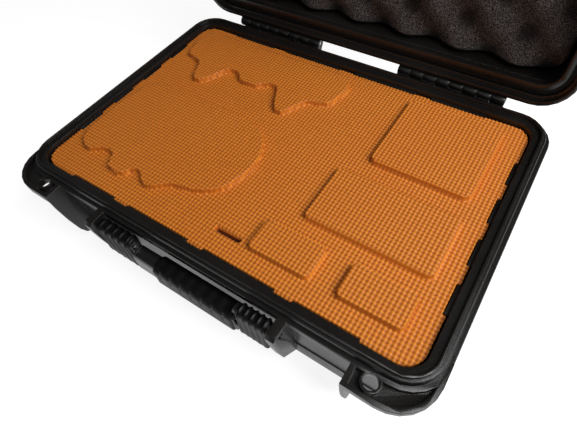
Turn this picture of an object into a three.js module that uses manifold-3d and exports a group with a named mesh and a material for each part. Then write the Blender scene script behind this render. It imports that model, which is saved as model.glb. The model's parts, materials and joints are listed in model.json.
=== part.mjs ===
// Hard equipment case: a moulded base and lid on a rear hinge, with a fitted foam insert,
// convoluted lid foam, a folding front handle and two two-piece draw latches.
// Millimetres, +Z up. The origin is the centre of the storage bay on the face the case rests on.
// -Y is the handle side, +Y the hinge side. The lid is drawn closed, then turned open.

import * as THREE from 'three';
import { mergeVertices } from 'three/addons/utils/BufferGeometryUtils.js';
import Module from 'manifold-3d';

const wasm = await Module();
wasm.setup();

// ---------------------------------------------------------------- driving dimensions

const GAP = 0.3; // air between pieces that rest against each other
const CORNER_STEPS = 6; // facets in a quarter-round corner of a shell
const SECTION_STEPS = 3; // facets in a quarter-round corner of a handle section
const ROUND_STEPS = 20; // facets in a full round
const CURVE_STEPS = 6; // facets in a drawn curve or a rounded plan corner

const LAND_Z = 98.4; // the rim's inner land, where the lid's lip rests
const SKIRT_Z = 92.4; // top of the rim's outer flange, under the lid's skirt
const LID_TOP = 146;
const WALL = 3.7;
const FLOOR = 4;
const BELT_Z = 30; // the outer wall steps in above this height

// Plan outlines: half width, front y, back y and corner radius.
const OPENING = { halfX: 217.3, front: -146.2, back: 145, radius: 19 };
const RIM = { halfX: 235, front: -160.6, back: 165.5, radius: 35 };
const FLANGE_FRONT = -178.8;
const FLANGE_RADIUS = 37;
const FLANGE_BOTTOM = 84;
const FRONT_OVERHANG = 4.5; // how far the front wall stands out beyond the opening's lip

// Rim section, as fractions of the way from the opening (0) to the outer edge (1).
const TONGUE = { inner: 0.4, outer: 0.54, top: 101.6 };
const GROOVE = { inner: 0.32, outer: 0.62, depth: 5.2 };
const SEAL = { inner: 0.345, outer: 0.595, thickness: 1.4 };
const STEP = 0.72; // where the rim steps down from the land to the outer flange

const HINGE = { y: 172.2, z: 97.4, radius: 6.2, start: 54, pitch: 31, repeats: 4, openAngle: 95 };
const HINGE_PIN_RADIUS = 2.2;
const BORE_CLEARANCE = 0.35;

const HANDLE_PIVOT = { y: -169.4, z: 84 };
const BRACKET = { inner: 103, outer: 112 };
const HANDLE_PIN = { radius: 2.5, inner: { right: 66, left: 53 }, outer: 111 };
// The right sleeve is shorter than the left: inner ends are distances out from the middle.
const SLEEVE = { inner: { right: 69, left: 56 }, outer: 100.5, ribs: 5, low: 46, halfY: 8.2 };
const GRIP_ENDS = { left: -27, right: 65 }; // the grip sits off centre, along x
const FINGER_PITCH = 12.4; // spacing of the grip's shallow waves

const LATCH_X = 141;
const LATCH = { pivotY: -169, pivotZ: 108, linkDrop: 29, width: 54, armOpen: 35, leverOpen: 80 };
const LATCH_EAR = { inner: 108, outer: 174, thickness: 5.4, radius: 6.5 };
const LATCH_PIN_RADIUS = 2;

const PADLOCK = { x: 189, y: -165.6, radius: 6.2, boss: 8.6 };

const FOAM_TOP_Z = 94.4;
const FOAM_SHEET = 12;
const FOAM_EDGE = { halfX: 215.8, front: -143.8, back: 142.6, radius: 18 };
const FOAM_NOTCH = { side: 3.1, end: 2.3 };
const PLATEAU = 6; // how far the raised forms stand above the sheet
const FORM_STEPS = 72; // points round a free-form raised form
const FOAM_BLOCK = { halfX: 208.5, halfY: 135, radius: 16 };

const LID_FOAM = { halfX: 213.5, halfY: 140.5, radius: 18, back: 142, valley: 124, wave: 6, pitch: 62 };

// Stretches along an edge where the wall carries a rib and the foam is notched for it.
const SIDE_RIBS = [[-90, -59], [-39, -9], [11, 42], [62, 93]];
const END_RIBS = [[-168, -106], [-88, -9], [9, 88], [106, 168]];
const RIB_PROUD = 3.7; // how far a rib stands in from the opening

const LIP_Z = LAND_Z + GAP; // the lid's lip, drawn closed
const LID_SKIRT_Z = SKIRT_Z + GAP;
const LID_FLANGE_TOP = 108;
const PADLOCK_TAB = 8; // thickness of the lid's padlock corners
const POCKET_FLOOR = 3.6; // material left under the pockets beside the padlock hole

const VALVE = { z: 126, face: -157, boss: 12, stem: 5, flange: 10, cap: 7.2 };
const VALVE_WALL = OPENING.front - FRONT_OVERHANG; // inner face of the wall the valve goes through
const WASHER = 1.4; // thickness of the valve's sealing washer

const GRIP = { y: HANDLE_PIVOT.y - 0.5, z: 63.4, halfY: 9.8, halfZ: 16.2, radius: 8 };
const CORE_BAR = { halfY: 7.6, halfZ: 13.6, radius: 4 };
const CORE_ARM = { halfY: 4.6, hub: 5, low: 50 };

// ---------------------------------------------------------------- materials

function material(color, roughness, metalness = 0) {
  return new THREE.MeshStandardMaterial({ color, roughness, metalness });
}

const SHELL_COLOR = 0x17181a;
const RUBBER_COLOR = 0x1d1d1f;
const ORANGE_COLOR = 0xd9822b;
const GREY_FOAM_COLOR = 0x47464a;
const STEEL_COLOR = 0xb9bcc0;

// ---------------------------------------------------------------- solids

function toSolid(geometry) {
  const bare = geometry.clone();
  bare.deleteAttribute('normal');
  bare.deleteAttribute('uv');
  const merged = mergeVertices(bare, 1e-4);
  return new wasm.Manifold(new wasm.Mesh({
    numProp: 3,
    vertProperties: Float32Array.from(merged.attributes.position.array),
    triVerts: Uint32Array.from(merged.index.array),
  }));
}

function toGeometry(solid) {
  const mesh = solid.getMesh();
  const geometry = new THREE.BufferGeometry();
  geometry.setAttribute('position', new THREE.BufferAttribute(mesh.vertProperties, 3));
  geometry.setIndex(new THREE.BufferAttribute(mesh.triVerts, 1));
  geometry.computeVertexNormals();
  return geometry;
}

function joinAll(solids) {
  return solids.reduce((whole, piece) => whole.add(piece));
}

function extrude(shape, depth) {
  return new THREE.ExtrudeGeometry(shape, { depth, bevelEnabled: false, curveSegments: CURVE_STEPS });
}

// A shape drawn in (x, y), raised from z0 to z1.
function prismZ(shape, z0, z1) {
  return toSolid(extrude(shape, z1 - z0).translate(0, 0, z0));
}

// Turns a geometry drawn in (u, v) along w so that u is y, v is z and w is x.
const ALONG_X = new THREE.Matrix4().makeBasis(
  new THREE.Vector3(0, 1, 0),
  new THREE.Vector3(0, 0, 1),
  new THREE.Vector3(1, 0, 0),
);

// A side profile given as [y, z] points, or as a shape, run from x0 to x1.
function prismX(profile, x0, x1) {
  const shape = Array.isArray(profile) ? polygon(profile) : profile;
  return toSolid(extrude(shape, x1 - x0).applyMatrix4(ALONG_X).translate(x0, 0, 0));
}

// A triangle or polygon given as [x, z] points, run from y0 to y1.
function prismY(profile, y0, y1) {
  return toSolid(extrude(polygon(profile), y1 - y0).rotateX(Math.PI / 2).translate(0, y1, 0));
}

function polygon(points) {
  return new THREE.Shape(points.map(([u, v]) => new THREE.Vector2(u, v)));
}

function rodX(radius, y, z, x0, x1, steps = ROUND_STEPS) {
  const geometry = new THREE.CylinderGeometry(radius, radius, x1 - x0, steps);
  geometry.rotateZ(Math.PI / 2);
  return toSolid(geometry.translate((x0 + x1) / 2, y, z));
}

function rodZ(radius, x, y, z0, z1, steps = ROUND_STEPS) {
  const geometry = new THREE.CylinderGeometry(radius, radius, z1 - z0, steps);
  geometry.rotateX(Math.PI / 2);
  return toSolid(geometry.translate(x, y, (z0 + z1) / 2));
}

function box(x0, x1, y0, y1, z0, z1) {
  const geometry = new THREE.BoxGeometry(x1 - x0, y1 - y0, z1 - z0);
  return toSolid(geometry.translate((x0 + x1) / 2, (y0 + y1) / 2, (z0 + z1) / 2));
}

// A rounded rectangle as points, anticlockwise; frontRadius rounds the corners on the -Y side.
function roundedOutline(halfX, front, back, radius, frontRadius = radius, steps = CORNER_STEPS) {
  const corners = [
    [halfX - radius, back - radius, radius, 0],
    [-halfX + radius, back - radius, radius, 90],
    [-halfX + frontRadius, front + frontRadius, frontRadius, 180],
    [halfX - frontRadius, front + frontRadius, frontRadius, 270],
  ];
  const points = [];
  for (const [x, y, r, start] of corners) {
    for (let step = 0; step <= steps; step += 1) {
      const angle = THREE.MathUtils.degToRad(start + (90 * step) / steps);
      points.push(new THREE.Vector2(x + r * Math.cos(angle), y + r * Math.sin(angle)));
    }
  }
  return points;
}

// The closed solid through a stack of outlines with the same number of points.
function loft(levels) {
  const count = levels[0].outline.length;
  const positions = [];
  for (const { outline, z } of levels) {
    for (const point of outline) {
      positions.push(point.x, point.y, z);
    }
  }
  const index = [];
  for (let level = 0; level < levels.length - 1; level += 1) {
    for (let i = 0; i < count; i += 1) {
      const next = (i + 1) % count;
      const low = level * count;
      const high = low + count;
      index.push(low + i, low + next, high + next, low + i, high + next, high + i);
    }
  }
  const top = (levels.length - 1) * count;
  for (const [a, b, c] of THREE.ShapeUtils.triangulateShape(levels[0].outline, [])) {
    index.push(c, b, a);
  }
  for (const [a, b, c] of THREE.ShapeUtils.triangulateShape(levels.at(-1).outline, [])) {
    index.push(top + a, top + b, top + c);
  }
  const geometry = new THREE.BufferGeometry();
  geometry.setAttribute('position', new THREE.Float32BufferAttribute(positions, 3));
  geometry.setIndex(index);
  return geometry;
}

function loftSolid(levels) {
  return toSolid(loft(levels));
}

// ---------------------------------------------------------------- shell outlines

// The rim's outline at a fraction of the way from the opening to the outer edge.
function rimOutline(fraction) {
  const mix = (key) => THREE.MathUtils.lerp(OPENING[key], RIM[key], fraction);
  return roundedOutline(mix('halfX'), mix('front'), mix('back'), mix('radius'));
}

// The wall's outline, offset outwards from the opening, with the front set out by an overhang.
function wallOutline(offset, overhang = 0) {
  return roundedOutline(
    OPENING.halfX + offset,
    OPENING.front - offset - overhang,
    OPENING.back + offset,
    OPENING.radius + offset,
  );
}

function flangeOutline(inset) {
  return roundedOutline(
    RIM.halfX - inset,
    FLANGE_FRONT + inset,
    RIM.back - inset,
    RIM.radius - inset,
    FLANGE_RADIUS - inset,
  );
}

function slab(outline, z0, z1) {
  return prismZ(new THREE.Shape(outline), z0, z1);
}

function rimBand(inner, outer, z0, z1) {
  return slab(rimOutline(outer), z0, z1).subtract(slab(rimOutline(inner), z0 - 1, z1 + 1));
}

// The same cut or boss on the right (+X) and the left (-X): build(side) gives x bounds by side.
function bothSides(build) {
  return joinAll([build(1), build(-1)]);
}

function ordered(side, inner, outer) {
  return side > 0 ? [inner, outer] : [-outer, -inner];
}

// The value for one side of a pair that differs from right to left.
function onSide(side, pair) {
  return side > 0 ? pair.right : pair.left;
}

// A front corner of the rim: the flange that carries the padlock hole, with its moulded pockets.
function padlockCorners(z0, z1, openFace) {
  const edge = LATCH_EAR.outer - 4;
  const whole = slab(flangeOutline(0), z0, z1);
  return bothSides((side) => {
    const [x0, x1] = ordered(side, edge, RIM.halfX + 1);
    const back = RIM.front + RIM.radius + 4;
    const corner = whole.intersect(box(x0, x1, FLANGE_FRONT - 1, back, z0 - 1, z1 + 1));
    const pockets = crescentPocket(side, z0, z1, openFace).add(slotPocket(side, z0, z1, openFace));
    const boss = rodZ(PADLOCK.boss, side * PADLOCK.x, PADLOCK.y, z0, z1);
    return corner.subtract(pockets.subtract(boss));
  });
}

function pocketHeights(z0, z1, openFace) {
  return openFace > 0 ? [z0 + POCKET_FLOOR, z1 + 1] : [z0 - 1, z1 - POCKET_FLOOR];
}

function crescentPocket(side, z0, z1, openFace) {
  const wallWidth = 4.6;
  const [low, high] = pocketHeights(z0, z1, openFace);
  const [x0, x1] = ordered(side, PADLOCK.x + 4, RIM.halfX);
  return slab(flangeOutline(wallWidth), low, high)
    .subtract(slab(rimOutline(1.02), low - 1, high + 1))
    .intersect(box(x0, x1, FLANGE_FRONT, RIM.front + 23, low, high));
}

function slotPocket(side, z0, z1, openFace) {
  const [low, high] = pocketHeights(z0, z1, openFace);
  const [x0, x1] = ordered(side, PADLOCK.x - 14, PADLOCK.x - 1);
  return box(x0, x1, PADLOCK.y - 9.5, PADLOCK.y + 3.8, low, high);
}

function padlockHoles(z0, z1) {
  return bothSides((side) => rodZ(PADLOCK.radius, side * PADLOCK.x, PADLOCK.y, z0, z1));
}

// ---------------------------------------------------------------- base shell

function baseWalls() {
  return loftSolid([
    { outline: wallOutline(WALL - 6.4, FRONT_OVERHANG), z: 0 },
    { outline: wallOutline(WALL - 3.8, FRONT_OVERHANG), z: 1.8 },
    { outline: wallOutline(WALL - 1.4, FRONT_OVERHANG), z: 6.5 },
    { outline: wallOutline(WALL - 0.6, FRONT_OVERHANG), z: BELT_Z - 1.2 },
    { outline: wallOutline(WALL - 1.8, FRONT_OVERHANG), z: BELT_Z },
    { outline: wallOutline(WALL, FRONT_OVERHANG), z: SKIRT_Z - 4 },
  ]);
}

// The rim: an outer flange under the lid's skirt, and a raised inner land.
function baseRim() {
  const flange = loftSolid([
    { outline: rimOutline(0.3), z: FLANGE_BOTTOM - 2.5 },
    { outline: rimOutline(0.94), z: FLANGE_BOTTOM },
    { outline: rimOutline(1), z: FLANGE_BOTTOM + 1.4 },
    { outline: rimOutline(1), z: SKIRT_Z - 1.2 },
    { outline: rimOutline(0.96), z: SKIRT_Z },
  ]);
  const land = loftSolid([
    { outline: rimOutline(STEP + 0.03), z: SKIRT_Z - 1 },
    { outline: rimOutline(STEP), z: LAND_Z - 0.8 },
    { outline: rimOutline(STEP - 0.04), z: LAND_Z },
  ]);
  return flange.add(land).add(rimBand(TONGUE.inner, TONGUE.outer, LAND_Z - 1, TONGUE.top));
}

function baseCavity() {
  const lower = loftSolid([
    { outline: wallOutline(-6.6, FRONT_OVERHANG), z: FLOOR },
    { outline: wallOutline(-3, FRONT_OVERHANG), z: FLOOR + 1.6 },
    { outline: wallOutline(-2, FRONT_OVERHANG), z: FLOOR + 5 },
    { outline: wallOutline(0, FRONT_OVERHANG), z: FLANGE_BOTTOM },
  ]);
  return lower.add(slab(wallOutline(0), FLANGE_BOTTOM - 1, LAND_Z + 1));
}

// Handle brackets: deep side plates that run down the front wall.
function handleBrackets() {
  const profile = [
    [-150, 90], [-160, SKIRT_Z], [-176.5, SKIRT_Z], [-179.5, 89], [-179, 80],
    [-176, 58], [-172, 35], [-168.5, 30], [-149, 4], [-148, 30],
  ];
  return bothSides((side) => prismX(profile, ...ordered(side, BRACKET.inner, BRACKET.outer)));
}

// The fin on the outer side of each latch recess.
function latchFins() {
  const profile = [
    [-150, 88], [-178.5, 88], [-177.6, 70], [-175, 46], [-171.5, 26], [-167.5, 16], [-162, 12],
    [-149, 4], [-148, 30],
  ];
  return bothSides((side) => prismX(profile, ...ordered(side, LATCH_EAR.outer - 4, LATCH_EAR.outer)));
}

// Upright gussets under the rim on the plain walls.
function wallGussets() {
  const depth = 8;
  const halfWidth = 1.6;
  const pieces = [];
  for (const y of [-96, -32, 32, 96]) {
    for (const side of [1, -1]) {
      const wall = side * (OPENING.halfX + 1);
      const edge = side * (OPENING.halfX + WALL + depth);
      const triangle = [[wall, FLANGE_BOTTOM + 1], [edge, FLANGE_BOTTOM + 1], [wall, 34]];
      pieces.push(prismY(triangle, y - halfWidth, y + halfWidth));
    }
  }
  return joinAll(pieces);
}

// Where the knuckles of one shell sit along the pin, offset from the start of each repeat.
function knuckleSpans(offset) {
  const spans = [];
  for (let repeat = 0; repeat < HINGE.repeats; repeat += 1) {
    const from = HINGE.start + HINGE.pitch * repeat + offset;
    spans.push([from + GAP / 2, from + HINGE.pitch / 2 - GAP / 2]);
  }
  return spans;
}

// Knuckles with a foot profile that ties them to the rim, bored for the hinge pin.
function knuckles(spans, foot) {
  const pieces = [];
  for (const [inner, outer] of spans) {
    for (const side of [1, -1]) {
      const [x0, x1] = ordered(side, inner, outer);
      pieces.push(rodX(HINGE.radius, HINGE.y, HINGE.z, x0, x1));
      pieces.push(prismX(foot, x0, x1));
    }
  }
  return joinAll(pieces);
}

// A shelf under the knuckles that closes the view down between them.
function hingeShelf() {
  const { y, z, radius, start, pitch, repeats } = HINGE;
  const top = z - radius - 2.6;
  const profile = [[150, 86], [160, FLANGE_BOTTOM], [y + 1, top - 2.6], [y + 1.8, top], [150, top]];
  return bothSides((side) => prismX(profile, ...ordered(side, start, start + pitch * repeats)));
}

function hingeBores() {
  const reach = HINGE.start + HINGE.pitch * HINGE.repeats + 1;
  const radius = HINGE_PIN_RADIUS + BORE_CLEARANCE;
  return bothSides((side) => rodX(radius, HINGE.y, HINGE.z, ...ordered(side, HINGE.start - 1, reach)));
}

// Upright ribs inside the bay that key the foam sheet.
function insideRibs() {
  const low = 24;
  const high = LAND_Z - 4.6;
  const pieces = [];
  for (const [from, to] of SIDE_RIBS) {
    for (const side of [1, -1]) {
      const [x0, x1] = ordered(side, OPENING.halfX - RIB_PROUD, OPENING.halfX + 1);
      pieces.push(box(x0, x1, from + GAP, to - GAP, low, high));
    }
  }
  for (const [from, to] of END_RIBS) {
    const front = OPENING.front - FRONT_OVERHANG - 1;
    pieces.push(box(from + GAP, to - GAP, front, OPENING.front + RIB_PROUD, low, high));
    pieces.push(box(from + GAP, to - GAP, OPENING.back - RIB_PROUD, OPENING.back + 1, low, high));
  }
  return joinAll(pieces);
}

function baseShell() {
  const { y, z } = HINGE;
  const foot = [
    [150, 86], [160, FLANGE_BOTTOM], [y + 2, z - 9], [y + 5.4, z - 3], [y, z], [RIM.back + 0.6, z - 2],
    [RIM.back, SKIRT_Z], [150, SKIRT_Z - 1],
  ];
  const outside = joinAll([
    baseWalls(),
    baseRim(),
    padlockCorners(FLANGE_BOTTOM, SKIRT_Z, 1),
    handleBrackets(),
    latchFins(),
    wallGussets(),
    knuckles(knuckleSpans(0), foot),
    hingeShelf(),
  ]);
  return outside
    .subtract(baseCavity())
    .subtract(padlockHoles(FLANGE_BOTTOM - 4, SKIRT_Z + 1))
    .subtract(hingeBores())
    .subtract(handlePinBores())
    .add(insideRibs());
}

function handlePinBores() {
  const radius = HANDLE_PIN.radius + BORE_CLEARANCE;
  return bothSides((side) => rodX(
    radius,
    HANDLE_PIVOT.y,
    HANDLE_PIVOT.z,
    ...ordered(side, BRACKET.inner - 1, BRACKET.outer + 1),
  ));
}

// ---------------------------------------------------------------- foam

// The flat sheet, notched along its edges where the bay's ribs stand.
function notchedSheet() {
  const { halfX, front, back, radius } = FOAM_EDGE;
  const low = FOAM_TOP_Z - FOAM_SHEET;
  const body = slab(roundedOutline(halfX, front, back, radius), low, FOAM_TOP_Z);
  const cuts = [];
  for (const [from, to] of SIDE_RIBS) {
    cuts.push(box(halfX - FOAM_NOTCH.side, halfX + 1, from, to, low - 1, LAND_Z));
    cuts.push(box(-halfX - 1, -halfX + FOAM_NOTCH.side, from, to, low - 1, LAND_Z));
  }
  for (const [from, to] of END_RIBS) {
    cuts.push(box(from, to, front - 1, front + FOAM_NOTCH.end, low - 1, LAND_Z));
    cuts.push(box(from, to, back - FOAM_NOTCH.end, back + 1, low - 1, LAND_Z));
  }
  return body.subtract(joinAll(cuts));
}

function roundedRectangle(x0, x1, y0, y1, radius) {
  const shape = new THREE.Shape();
  shape.moveTo(x0 + radius, y0);
  shape.lineTo(x1 - radius, y0);
  shape.absarc(x1 - radius, y0 + radius, radius, -Math.PI / 2, 0);
  shape.lineTo(x1, y1 - radius);
  shape.absarc(x1 - radius, y1 - radius, radius, 0, Math.PI / 2);
  shape.lineTo(x0 + radius, y1);
  shape.absarc(x0 + radius, y1 - radius, radius, Math.PI / 2, Math.PI);
  shape.lineTo(x0, y0 + radius);
  shape.absarc(x0 + radius, y0 + radius, radius, Math.PI, 1.5 * Math.PI);
  return shape;
}

// A closed smooth outline through the given points.
function smoothShape(points) {
  const knots = points.map(([x, y]) => new THREE.Vector3(x, y, 0));
  const curve = new THREE.CatmullRomCurve3(knots, true, 'centripetal');
  const outline = curve.getSpacedPoints(FORM_STEPS).slice(0, FORM_STEPS);
  return new THREE.Shape(outline.map((point) => new THREE.Vector2(point.x, point.y)));
}

// A two-lobed form, drawn for one half and mirrored about its middle.
function lobedForm() {
  const middle = -91;
  const half = [
    [4, 62], [13, 64], [20, 72], [33, 74], [39, 68], [46, 53], [56, 39], [65, 39],
    [73, 55], [80, 68], [92, 72], [103, 75], [108, 90], [110, 107], [107, 120], [96, 126], [40, 127],
  ];
  const right = half.map(([x, y]) => [middle + x, y]);
  const left = half.map(([x, y]) => [middle - x, y]).reverse();
  return smoothShape([...right, ...left]);
}

// A round-cornered form with a scalloped front edge.
function scallopedForm() {
  return smoothShape([
    [-48, 9], [-24, 0], [-12, -18], [-6, -40], [-9, -60], [-16, -80], [-28, -91], [-44, -98],
    [-64, -102], [-74, -110], [-84, -117], [-95, -114], [-104, -106], [-113, -107], [-121, -119],
    [-134, -119], [-142, -116], [-147, -104], [-158, -100], [-168, -104], [-179, -111], [-190, -107],
    [-199, -98], [-201, -60], [-200, -20], [-194, 2], [-178, 11], [-110, 12],
  ]);
}

function raisedForms() {
  const low = FOAM_TOP_Z - 1;
  const high = FOAM_TOP_Z + PLATEAU;
  const rectangles = [
    [90, 192, 23, 126, 8],
    [69.5, 195, -68, 0, 5],
    [44, 107.5, -122, -87, 6],
    [133, 193, -122, -87, 6],
  ];
  const forms = rectangles.map((values) => prismZ(roundedRectangle(...values), low, high));
  forms.push(prismZ(lobedForm(), low, high));
  forms.push(prismZ(scallopedForm(), low, high));
  return joinAll(forms);
}

function foamSheet() {
  const slot = prismZ(roundedRectangle(5, 34, -120.5, -115.5, 2), FOAM_TOP_Z - 8, FOAM_TOP_Z + 1);
  return notchedSheet().add(raisedForms()).subtract(slot);
}

function foamBlock() {
  const { halfX, halfY, radius } = FOAM_BLOCK;
  return slab(roundedOutline(halfX, -halfY, halfY, radius), FLOOR + GAP, FOAM_TOP_Z - FOAM_SHEET - GAP);
}

// Convoluted foam: a slab whose face is a grid of round peaks and hollows, drawn for the closed lid.
function lidFoam() {
  const { halfX, halfY, radius, back, valley, wave, pitch } = LID_FOAM;
  const columns = 28;
  const rows = 18;
  const plane = new THREE.PlaneGeometry(2 * halfX + 2, 2 * halfY + 2, columns, rows);
  const wavenumber = (2 * Math.PI) / pitch;
  const face = plane.attributes.position;
  const positions = [];
  for (let i = 0; i < face.count; i += 1) {
    const bump = Math.sin(wavenumber * face.getX(i)) * Math.sin(wavenumber * face.getY(i));
    positions.push(face.getX(i), face.getY(i), valley - wave + wave * bump);
  }
  for (let i = 0; i < face.count; i += 1) {
    positions.push(face.getX(i), face.getY(i), back);
  }
  const index = [];
  const cells = plane.index.array;
  for (let i = 0; i < cells.length; i += 3) {
    index.push(cells[i + 2], cells[i + 1], cells[i]);
    index.push(face.count + cells[i], face.count + cells[i + 1], face.count + cells[i + 2]);
  }
  const border = gridBorder(columns, rows);
  for (let i = 0; i < border.length; i += 1) {
    const a = border[i];
    const b = border[(i + 1) % border.length];
    index.push(a, b, face.count + b, a, face.count + b, face.count + a);
  }
  const geometry = new THREE.BufferGeometry();
  geometry.setAttribute('position', new THREE.Float32BufferAttribute(positions, 3));
  geometry.setIndex(index);
  return toSolid(geometry).intersect(slab(roundedOutline(halfX, -halfY, halfY, radius), LAND_Z, back));
}

// The edge points of a plane's grid, in order round the edge.
function gridBorder(columns, rows) {
  const stride = columns + 1;
  const border = [];
  for (let row = 0; row < rows; row += 1) {
    border.push(row * stride);
  }
  for (let column = 0; column < columns; column += 1) {
    border.push(rows * stride + column);
  }
  for (let row = rows; row > 0; row -= 1) {
    border.push(row * stride + columns);
  }
  for (let column = columns; column > 0; column -= 1) {
    border.push(column);
  }
  return border;
}

// ---------------------------------------------------------------- lid shell, drawn closed

function lidWalls() {
  return loftSolid([
    { outline: wallOutline(WALL, FRONT_OVERHANG), z: LIP_Z + 5 },
    { outline: wallOutline(WALL - 1.2, FRONT_OVERHANG), z: LID_TOP - 8 },
    { outline: wallOutline(WALL - 3, FRONT_OVERHANG), z: LID_TOP - 2.6 },
    { outline: wallOutline(WALL - 7, FRONT_OVERHANG), z: LID_TOP },
  ]);
}

// The lid's rim: a skirt that hangs down outside the base's land, round an inner lip.
function lidRim() {
  const whole = loftSolid([
    { outline: rimOutline(0.97), z: LID_SKIRT_Z },
    { outline: rimOutline(1), z: LID_SKIRT_Z + 0.8 },
    { outline: rimOutline(1), z: LID_FLANGE_TOP - 1.6 },
    { outline: rimOutline(0.93), z: LID_FLANGE_TOP },
    { outline: rimOutline(0.3), z: LID_FLANGE_TOP + 2 },
  ]);
  return whole
    .add(padlockCorners(LID_SKIRT_Z, LID_SKIRT_Z + PADLOCK_TAB, -1))
    .subtract(slab(rimOutline(STEP + 0.06), LID_SKIRT_Z - 1, LIP_Z));
}

function lidCavity() {
  const opening = slab(wallOutline(0), SKIRT_Z, LID_FLANGE_TOP);
  return opening.add(loftSolid([
    { outline: wallOutline(0, FRONT_OVERHANG), z: LID_FLANGE_TOP - 1 },
    { outline: wallOutline(-1.2, FRONT_OVERHANG), z: LID_TOP - WALL - 6 },
    { outline: wallOutline(-2.6, FRONT_OVERHANG), z: LID_TOP - WALL - 1 },
    { outline: wallOutline(-3, FRONT_OVERHANG), z: LID_TOP - WALL },
  ]));
}

// A stepped panel with long stiffening ribs on the lid's top face.
function lidPanel() {
  const rise = 2.4;
  const panel = loftSolid([
    { outline: roundedOutline(186, -112, 112, 16), z: LID_TOP - 1 },
    { outline: roundedOutline(186, -112, 112, 16), z: LID_TOP + 0.2 },
    { outline: roundedOutline(183.5, -109.5, 109.5, 14), z: LID_TOP + rise },
  ]);
  const grooves = [];
  for (const y of [-75, -45, 45, 75]) {
    grooves.push(box(-165, 165, y - 4, y + 4, LID_TOP + 0.9, LID_TOP + rise + 1));
  }
  return panel.subtract(joinAll(grooves));
}

// Ears that hold each latch pin, one on either side of the latch.
function latchEars() {
  const { pivotY: y, pivotZ: z } = LATCH;
  const foot = [
    [-150, 101], [-160, 97], [y - 3, z - 6], [y - 6.2, z - 2], [y, z], [y + 2, z + 6.2], [-150, 128],
  ];
  const { inner, outer, thickness, radius } = LATCH_EAR;
  const ears = [];
  for (const [from, to] of [[inner, inner + thickness], [outer - thickness, outer]]) {
    ears.push(bothSides((side) => rodX(radius, y, z, ...ordered(side, from, to))));
    ears.push(bothSides((side) => prismX(foot, ...ordered(side, from, to))));
  }
  return joinAll(ears);
}

function latchPinBores() {
  const radius = LATCH_PIN_RADIUS + BORE_CLEARANCE;
  return bothSides((side) => rodX(
    radius,
    LATCH.pivotY,
    LATCH.pivotZ,
    ...ordered(side, LATCH_EAR.inner - 1, LATCH_EAR.outer + 1),
  ));
}

function lidShell() {
  const { y, z } = HINGE;
  const foot = [
    [RIM.back - 3, z - 3.4], [RIM.back + 0.8, z - 3.4], [y, z], [y + 5.2, z + 3.4],
    [y + 1, z + 8], [160, LID_FLANGE_TOP], [150, LID_FLANGE_TOP], [150, LIP_Z + 6],
    [RIM.back - 3, LIP_Z + 4],
  ];
  const outside = joinAll([
    lidWalls(),
    lidRim(),
    lidPanel(),
    latchEars(),
    valveBoss(),
    knuckles(knuckleSpans(HINGE.pitch / 2), foot),
  ]);
  return outside
    .subtract(lidCavity())
    .subtract(rimBand(GROOVE.inner, GROOVE.outer, LIP_Z - 1, LIP_Z + GROOVE.depth))
    .subtract(padlockHoles(LID_SKIRT_Z - 1, LID_SKIRT_Z + PADLOCK_TAB + 1))
    .subtract(hingeBores())
    .subtract(latchPinBores())
    .subtract(valveBore());
}

function lidSeal() {
  const top = LIP_Z + GROOVE.depth - GAP;
  return rimBand(SEAL.inner, SEAL.outer, top - SEAL.thickness, top);
}

// ---------------------------------------------------------------- pressure valve in the lid's front

function valveBoss() {
  return discY(VALVE.boss, VALVE.face, VALVE_WALL - 2);
}

function valveBore() {
  return discY(VALVE.stem + BORE_CLEARANCE, VALVE.face - 1, VALVE_WALL + 10);
}

function discY(radius, y0, y1) {
  const geometry = new THREE.CylinderGeometry(radius, radius, y1 - y0, ROUND_STEPS);
  return toSolid(geometry.translate(0, (y0 + y1) / 2, VALVE.z));
}

function valveSeal() {
  const back = VALVE.face - GAP;
  const washer = discY(VALVE.flange - 1.4, back - WASHER, back);
  return washer.subtract(discY(VALVE.stem + GAP, back - WASHER - 1, back + 1));
}

// A stem through the wall with a cupped flange outside.
function valveBody() {
  const back = VALVE.face - WASHER - 2 * GAP;
  return discY(VALVE.stem, back - 1, VALVE_WALL + 0.5)
    .add(discY(VALVE.flange, back - 3, back))
    .subtract(discY(VALVE.cap + 0.4, back - 4, back - WASHER));
}

// A slotted cap that sits in the flange's cup.
function valveCap() {
  const back = VALVE.face - 2 * WASHER - 3 * GAP;
  const slots = joinAll([0, 60, 120].map((angle) => {
    const bar = new THREE.BoxGeometry(11, 3, 1.2);
    bar.rotateY(THREE.MathUtils.degToRad(angle));
    return toSolid(bar.translate(0, back - 4, VALVE.z));
  }));
  return discY(VALVE.cap, back - 3.2, back).subtract(slots);
}

// ---------------------------------------------------------------- handle

// A rounded section in (y, z) as points, for pieces lofted along x.
function roundedSection(y, z, halfY, halfZ, radius, grow = 0) {
  const round = radius + grow;
  return roundedOutline(halfY + grow, -halfZ - grow, halfZ + grow, round, round, SECTION_STEPS)
    .map((point) => new THREE.Vector2(point.x + y, point.y + z));
}

function loftX(levels) {
  const geometry = loft(levels.map(({ outline, x }) => ({ outline, z: x })));
  return toSolid(geometry.applyMatrix4(ALONG_X));
}

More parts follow.
